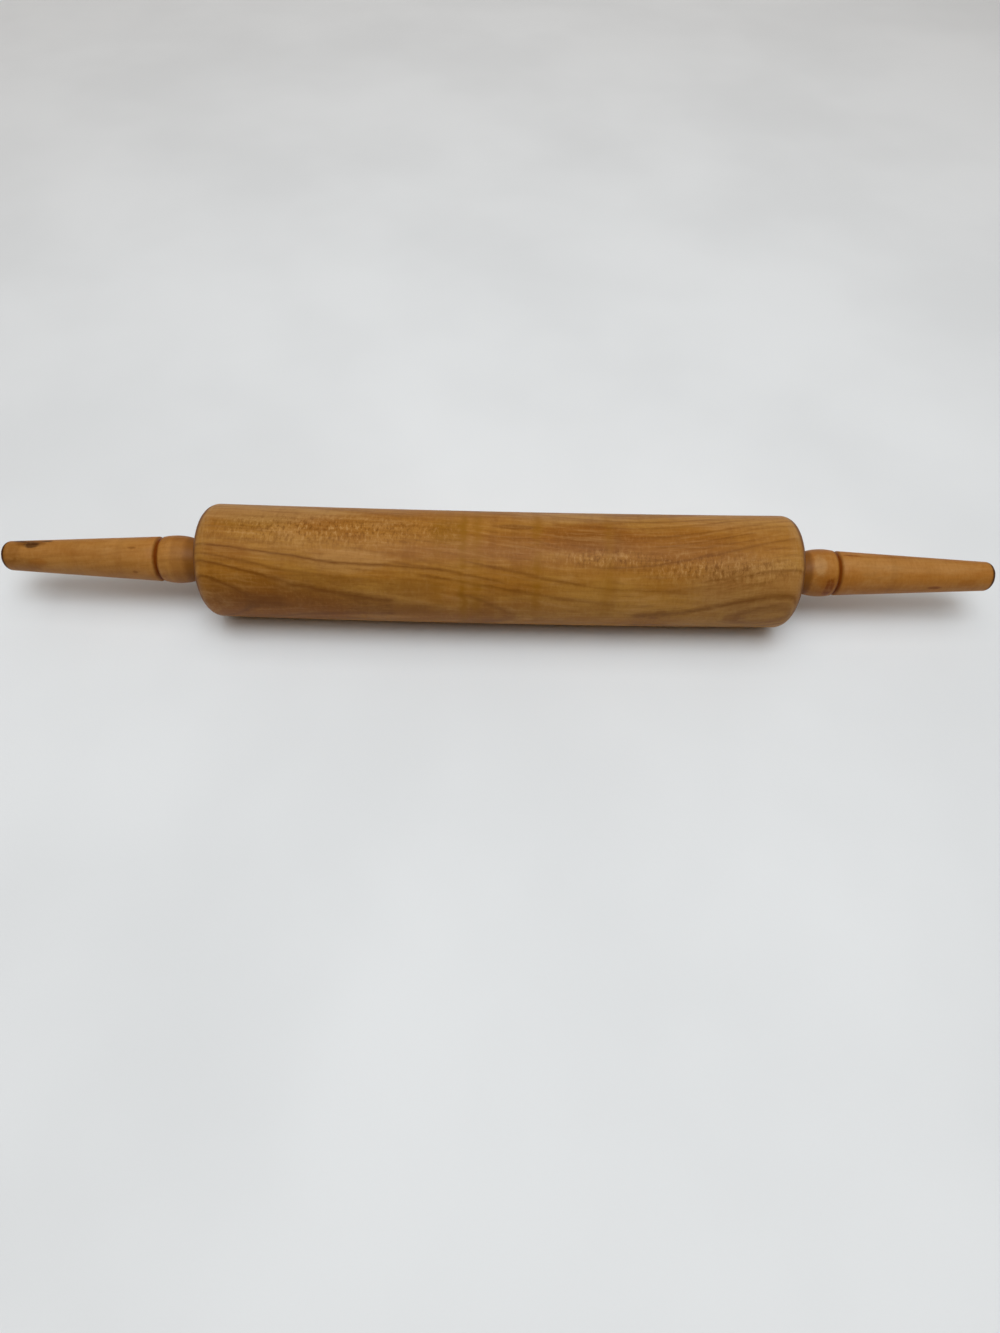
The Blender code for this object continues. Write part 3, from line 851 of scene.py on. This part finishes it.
class RollingPinBarrel(Operator):
    """Make the barrel."""

    bl_idname = "object.rolling_pin_barrel"
    bl_label = "Barrel"

    def execute(self, context):
        sizes = context.scene.rolling_pin_sizes
        seat_radius = outer_radius("right_bearing_cup") + FIT_GAP
        seat_depth = FIT_GAP - out_places("right_bearing_cup", 1)[0]
        bore_radius = outer_radius("right_retaining_ring") + RING_CLEARANCE
        deselect()
        bpy.ops.mesh.primitive_cylinder_add(
            vertices=BARREL_SIDES,
            radius=BARREL_RADIUS,
            depth=2 * BARREL_END,
            location=(0, 0, AXIS_HEIGHT),
            rotation=(0, math.pi / 2, 0),
        )
        piece = context.object
        piece.name = "maple_barrel"
        bpy.ops.object.transform_apply(location=True, rotation=True, scale=True)
        self.round_edges(sizes.edge_radius)
        self.sink_seats(BARREL_RADIUS - sizes.edge_radius, seat_radius, seat_depth, bore_radius)
        self.bow_along(sizes.bow)
        finish_mesh()
        maple = BarrelMaple("barrel_maple", context.scene.rolling_pin_barrel, BARREL_FIGURE)
        dress(piece, maple.lacquered(), "barrel", "barrel")
        return {"FINISHED"}

    def round_edges(self, edge_radius):
        """Bevel the rims of both ends."""
        edit("EDGE")
        pick("edges", lambda e: abs(e.verts[0].co.x - e.verts[1].co.x) < TOUCH)
        bpy.ops.mesh.bevel(offset=edge_radius, segments=EDGE_SEGMENTS, profile=0.5, affect="EDGES")

    def is_end(self, face):
        """True for the flat face at either end."""
        return abs(face.normal.x) > ALONG_AXLE and radius_of(face.calc_center_median()) < TOUCH

    def sink_seats(self, flat_radius, seat_radius, seat_depth, bore_radius):
        """Sink a bearing's seat in each end, and bore the barrel through between them."""
        bpy.ops.mesh.select_mode(type="FACE")
        pick("faces", self.is_end)
        bpy.ops.mesh.inset(thickness=flat_radius - seat_radius - FIT_GAP, use_individual=True)
        bpy.ops.mesh.inset(thickness=FIT_GAP, depth=-FIT_GAP, use_individual=True)
        step = (seat_depth - FIT_GAP) / SEAT_STEPS
        for _ in range(SEAT_STEPS):
            bpy.ops.mesh.extrude_region_shrink_fatten(TRANSFORM_OT_shrink_fatten={"value": -step})
        bpy.ops.mesh.inset(thickness=seat_radius - bore_radius, use_individual=True)
        bpy.ops.mesh.delete(type="ONLY_FACE")
        bpy.ops.mesh.select_mode(type="EDGE")
        pick_hoop(-seat_depth, bore_radius)
        bpy.ops.mesh.bridge_edge_loops()

    def bow_along(self, bow):
        """Divide the barrel along its length, and warp its middle a little towards the front."""
        pick("edges", lambda e: abs(e.verts[0].co.x - e.verts[1].co.x) > BARREL_END)
        bpy.ops.mesh.subdivide(number_cuts=BARREL_CUTS)
        bpy.ops.mesh.select_mode(type="VERT")
        pick("verts", lambda v: abs(v.co.x) < TOUCH)
        bpy.ops.transform.translate(
            value=(0, -bow, 0),
            use_proportional_edit=True,
            proportional_edit_falloff="INVERSE_SQUARE",
            proportional_size=BARREL_END,
        )


class RollingPinHandles(Operator):
    """Make both handles."""

    bl_idname = "object.rolling_pin_handles"
    bl_label = "Handles"

    def execute(self, context):
        for name, side in SIDES.items():
            profile = self.profile(context.scene.rolling_pin_sizes, name, side)
            piece = turn(f"{name}_grip", side, profile, HANDLE_SIDES)
            self.point_hole(side)
            finish_mesh()
            self.drill(piece, name)
            dress(piece, self.finish(context, name, side), "axle", f"{name}_handle")
        return {"FINISHED"}

    def groove_place(self, sizes, side):
        """The turner cut the right handle's groove a little nearer to the barrel."""
        return sizes.groove_place - (sizes.groove_offset if side > 0 else 0)

    def hole(self):
        """The radius of the axle's hole, and how far out it goes."""
        return outer_radius("axle_rod") + FIT_GAP, out_places("axle_rod", 1)[1] + FIT_GAP

    def profile(self, sizes, name, side):
        """From the bottom of the hole round the nose and the bead, and along the grip to its tip."""
        hole_radius, hole_end = self.hole()
        nose_out = out_places(f"{name}_handle", side)[0]
        nose = sizes.nose_diameter / 2
        bead = sizes.bead_diameter / 2
        shoulder = sizes.shoulder_diameter / 2
        tip = sizes.tip_diameter / 2
        groove = self.groove_place(sizes, side)
        groove_start = groove - sizes.groove_width / 2
        groove_end = groove + sizes.groove_width / 2
        grip_end = HANDLE_REACH - sizes.tip_edge

        def bead_radius(out):
            share = (out - sizes.bead_middle) / (sizes.bead_middle - nose_out)
            return bead - share**2 * (bead - nose)

        profile = [(hole_radius, hole_end), (hole_radius, nose_out)]
        profile += arc((nose - NOSE_EDGE, nose_out + NOSE_EDGE), NOSE_EDGE, -90, -20, NOSE_STEPS)
        bead_start = nose_out + 2 * NOSE_EDGE
        for i in range(BEAD_STEPS):
            out = bead_start + (groove_start - bead_start) * i / BEAD_STEPS
            profile.append((bead_radius(out), out))
        floor = bead_radius(groove) - sizes.groove_depth
        profile += [
            (bead_radius(groove_start) - 0.1 * GROOVE_LIP, groove_start),
            (bead_radius(groove_start) - GROOVE_LIP, groove_start + GROOVE_LIP),
            (floor + GROOVE_LIP, groove - GROOVE_LIP),
            (floor, groove),
            (floor + GROOVE_LIP, groove + GROOVE_LIP),
            (shoulder - GROOVE_LIP, groove_end - GROOVE_LIP),
            (shoulder, groove_end + GROOVE_LIP),
        ]
        for i in range(1, GRIP_STEPS):
            share = i / GRIP_STEPS
            out = groove_end + (grip_end - groove_end) * share
            profile.append((shoulder + (tip - shoulder) * share, out))
        return profile + arc((tip - sizes.tip_edge, grip_end), sizes.tip_edge, 0, 90, TIP_STEPS)

    def point_hole(self, side):
        """Close the axle's hole with the cone that the drill left."""
        hole_radius, hole_end = self.hole()
        pick_hoop(hole_end, hole_radius)
        bpy.ops.mesh.extrude_region_move(TRANSFORM_OT_translate={"value": (side * DRILL_POINT, 0, 0)})
        bpy.ops.mesh.merge(type="CENTER")

    def drill(self, piece, name):
        """Drill the cross pin's hole from behind."""
        low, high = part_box(f"{name}_handle_pin")
        radius = (high.x - low.x) / 2 + FIT_GAP
        far = low.y - FIT_GAP
        near = high.y + CUT_MARGIN
        deselect()
        bpy.ops.mesh.primitive_cylinder_add(
            vertices=PIN_SIDES,
            radius=radius,
            depth=near - far,
            location=((low.x + high.x) / 2, (near + far) / 2, AXIS_HEIGHT),
            rotation=(math.pi / 2, 0, 0),
        )
        drill = bpy.context.object
        deselect()
        bpy.context.view_layer.objects.active = piece
        piece.select_set(True)
        cut = piece.modifiers.new("Pin hole", "BOOLEAN")
        cut.operation = "DIFFERENCE"
        cut.object = drill
        bpy.ops.object.modifier_apply(modifier=cut.name)
        bpy.data.objects.remove(drill)
        bpy.ops.object.shade_smooth_by_angle(angle=SHARP_ANGLE)

    def finish(self, context, name, side):
        """Maple that is burnt along the groove."""
        groove = BARREL_END + self.groove_place(context.scene.rolling_pin_sizes, side) - BURN_OFFSET
        tones = context.scene.rolling_pin_handles
        figure = handle_figure(name, side)
        # Painted shade at the nose
        nose_shade = HANDLE_NOSE_SHADE[name]
        maple = HandleMaple(f"{name}_handle_maple", tones, figure, MILLIMETRES * groove, nose_shade)
        return maple.lacquered()


class RollingPinFittings(Operator):
    """Make the dust caps, thrust washers and cross pins."""

    bl_idname = "object.rolling_pin_fittings"
    bl_label = "Caps, Washers and Pins"

    def execute(self, context):
        tones = context.scene.rolling_pin_fittings
        plate = metal_finish("zinc_plate", tones.plated, tones.tarnish, 0.32, 0.22, 0.45)
        fibre = fibre_finish("vulcanised_fibre", tones.fibre, tones.thread)
        steel = metal_finish("pin_steel", tones.steel, tones.tarnish, 0.34, 0.12, 0.4)
        for name, side in SIDES.items():
            dress(self.dust_cap(name, side), plate, "barrel", f"{name}_dust_cap")
            dress(self.thrust_washer(name, side), fibre, "axle", f"{name}_thrust_washer")
            dress(self.cross_pin(name), steel, "axle", f"{name}_handle_pin")
        return {"FINISHED"}

    def dust_cap(self, name, side):
        """A pressed cap: rounded rim, a raised ring on its face and a rolled hole."""
        rim = outer_radius(f"{name}_dust_cap")
        foot, face = out_places(f"{name}_dust_cap", side)
        hole = outer_radius(f"{name}_thrust_washer") + CAP_CLEARANCE
        profile = [
            (rim, foot),
            (rim - CAP_SHEET, foot),
            (rim - CAP_SHEET, face - CAP_SHEET),
            (hole, face - CAP_SHEET),
            (hole, face - CAP_LIP),
            (hole + CAP_LIP, face),
            (hole + 4 * CAP_LIP, face),
            (hole + 5 * CAP_LIP, face - CAP_DIP),
            (rim - 7 * CAP_LIP, face - CAP_DIP),
            (rim - 6 * CAP_LIP, face),
        ]
        profile += arc((rim - CAP_BEND, face - CAP_BEND), CAP_BEND, 90, 0, RIM_STEPS)
        return turned_ring(f"{name}_cap", side, profile)

    def thrust_washer(self, name, side):
        """A washer whose edges are broken."""
        radius = outer_radius(f"{name}_thrust_washer")
        inner, outer = out_places(f"{name}_thrust_washer", side)
        bore = outer_radius("axle_rod") + FIT_GAP
        profile = [
            (radius, inner + WASHER_EDGE),
            (radius - WASHER_EDGE, inner),
            (bore + WASHER_EDGE, inner),
            (bore, inner + WASHER_EDGE),
            (bore, outer - WASHER_EDGE),
            (bore + WASHER_EDGE, outer),
            (radius - WASHER_EDGE, outer),
            (radius, outer - WASHER_EDGE),
        ]
        return turned_ring(f"{name}_washer", side, profile)

    def cross_pin(self, name):
        """The headless pin, its ends rounded."""
        low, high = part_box(f"{name}_handle_pin")
        radius = (high.x - low.x) / 2
        deselect()
        bpy.ops.mesh.primitive_cylinder_add(
            vertices=PIN_SIDES,
            radius=radius,
            depth=high.y - low.y,
            location=(low + high) / 2,
            rotation=(math.pi / 2, 0, 0),
        )
        piece = bpy.context.object
        piece.name = f"{name}_cross_pin"
        edit("EDGE")
        pick("edges", lambda e: abs(e.verts[0].co.z - e.verts[1].co.z) < TOUCH)
        rounding = radius * PIN_ROUNDING
        bpy.ops.mesh.bevel(offset=rounding, segments=PIN_SEGMENTS, profile=0.5, affect="EDGES")
        finish_mesh()
        return piece


class RollingPinBearings(Operator):
    """Finish the axle and the pieces of both ball bearings."""

    bl_idname = "object.rolling_pin_bearings"
    bl_label = "Axle and Bearings"

    def execute(self, context):
        tones = context.scene.rolling_pin_fittings
        turned_steel = metal_finish("turned_steel", tones.steel, tones.tarnish, 0.30, 0.16, 0.35)
        ball_steel = metal_finish("ball_steel", tones.polished, tones.tarnish, 0.14, 0.05, 0.12)
        brass = metal_finish("cage_brass", tones.brass, tones.tarnish, 0.36, 0.2, 0.5)
        for name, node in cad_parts.items():
            if node.hide_render:
                continue
            finish = turned_steel
            if "_ball_cage" in name:
                finish = brass
            elif "_ball_" in name:
                finish = ball_steel
            for slot in node.material_slots:
                slot.material = finish
        return {"FINISHED"}


class RollingPinStage(Operator):
    """Set the floor, the light and the camera."""

    bl_idname = "object.rolling_pin_stage"
    bl_label = "Stage"

    def execute(self, context):
        tones = context.scene.rolling_pin_stage
        self.camera(context)
        self.floor(tones)
        self.cove(tones)
        for name, place, width, power, tone in LAMPS:
            self.lamp(name, place, width, power, getattr(tones, tone))
        world = bpy.data.worlds.new("studio")
        world.use_nodes = True
        sky = world.node_tree.nodes["Background"]
        sky.inputs["Color"].default_value = colour(tones.sky)
        sky.inputs["Strength"].default_value = SKY_STRENGTH
        context.scene.world = world
        context.scene.view_settings.view_transform = "Standard"
        return {"FINISHED"}

    def camera(self, context):
        """Look down on the pin as the photographer did."""
        data = bpy.data.cameras.new("camera")
        data.sensor_width = SENSOR
        data.lens = SENSOR * FOCAL_PIXELS / PHOTO_HEIGHT
        data.clip_start = CLIP_START
        camera = bpy.data.objects.new("camera", data)
        turned = Matrix.Rotation(-CAMERA_YAW, 4, "Z")
        turned @= Matrix.Rotation(math.pi / 2 - CAMERA_DEPRESSION, 4, "X")
        turned @= Matrix.Rotation(CAMERA_ROLL, 4, "Z")
        camera.matrix_world = Matrix.Translation(CAMERA_PLACE) @ turned
        context.scene.collection.objects.link(camera)
        context.scene.camera = camera

    def floor(self, tones):
        """A wide pale table, with a soft unevenness in its tone."""
        deselect()
        bpy.ops.mesh.primitive_plane_add(size=FLOOR_WIDTH, location=(0, 0, 0))
        piece = bpy.context.object
        piece.name = "floor"
        finish = Finish("floor_cloth")
        cloud = finish.noise((0.006, 0.006, 0.006), 3.0)
        dimmed = [c * FLOOR_DIMMING for c in tones.cloth]
        base = finish.mix(cloud.share(0.3, 0.7), colour(tones.cloth), colour(dimmed))
        weave = finish.noise((1.4, 1.4, 1.4), 2.0)
        material = finish.close(
            {
                "Base Color": base,
                "Roughness": 0.85,
                "Specular IOR Level": 0.15,
                "Normal": finish.bump(weave, 0.0001, 0.3),
            }
        )
        piece.data.materials.append(material)

    def cove(self, tones):
        """A pale wall that curves up from the floor all round. Only the camera sees it."""
        profile = arc((COVE_START, COVE_BEND + TOUCH), COVE_BEND, -90, 0, COVE_STEPS)
        profile.append((COVE_START + COVE_BEND, WALL_HEIGHT))
        deselect()
        bpy.ops.mesh.primitive_circle_add(vertices=COVE_SIDES, radius=COVE_START, location=(0, 0, TOUCH))
        piece = bpy.context.object
        piece.name = "cove"
        edit("EDGE")
        bpy.ops.mesh.select_all(action="SELECT")
        sweep(profile, (0, 0, 0), (0, 0, 1))
        finish_mesh()
        piece.visible_diffuse = False
        piece.visible_glossy = False
        piece.visible_transmission = False
        piece.visible_shadow = False
        finish = Finish("cove_paper")
        rise = (finish.z + MILLIMETRES * AXIS_HEIGHT) / (MILLIMETRES * COVE_BEND)
        glow = finish.mix(rise.highest(0).lowest(1) ** WALL_RISE, (0, 0, 0, 1), colour(tones.wall))
        material = finish.close(
            {
                "Base Color": colour(tones.cloth),
                "Roughness": 0.9,
                "Specular IOR Level": 0.1,
                "Emission Color": glow,
                "Emission Strength": 1.0,
            }
        )
        piece.data.materials.append(material)

    def lamp(self, name, place, size, power, tone):
        """A square soft light that faces the pin."""
        data = bpy.data.lights.new(name, "AREA")
        data.shape = "SQUARE"
        data.size = size
        data.energy = power
        data.color = tone
        light = bpy.data.objects.new(name, data)
        light.location = place
        light.rotation_euler = Vector(place).to_track_quat("Z", "Y").to_euler()
        bpy.context.scene.collection.objects.link(light)


class RollingPinPanel(Panel):
    """The rolling pin's tools, in the sidebar of the 3D view."""

    bl_idname = "VIEW3D_PT_rolling_pin"
    bl_label = "Rolling Pin"
    bl_space_type = "VIEW_3D"
    bl_region_type = "UI"
    bl_category = "Rolling Pin"

    def draw(self, context):
        for group in GROUPS:
            box = self.layout.box()
            box.label(text=group.__doc__)
            values = getattr(context.scene, GROUPS[group])
            for name in group.__annotations__:
                box.prop(values, name)
        for tool in TOOLS:
            self.layout.operator(tool.bl_idname)


GROUPS = {
    RollingPinSizes: "rolling_pin_sizes",
    BarrelTones: "rolling_pin_barrel",
    HandleTones: "rolling_pin_handles",
    FittingTones: "rolling_pin_fittings",
    StageTones: "rolling_pin_stage",
}
TOOLS = (RollingPinStage, RollingPinBarrel, RollingPinHandles, RollingPinFittings, RollingPinBearings)


def register():
    for made in (*GROUPS, *TOOLS, RollingPinPanel):
        bpy.utils.register_class(made)
    for group, name in GROUPS.items():
        setattr(bpy.types.Scene, name, PointerProperty(type=group))


def unregister():
    for name in GROUPS.values():
        delattr(bpy.types.Scene, name)
    for made in reversed((*GROUPS, *TOOLS, RollingPinPanel)):
        bpy.utils.unregister_class(made)


def main():
    register()
    bpy.ops.object.rolling_pin_stage()
    bpy.ops.object.rolling_pin_barrel()
    bpy.ops.object.rolling_pin_handles()
    bpy.ops.object.rolling_pin_fittings()
    bpy.ops.object.rolling_pin_bearings()


if __name__ == "__main__":
    main()
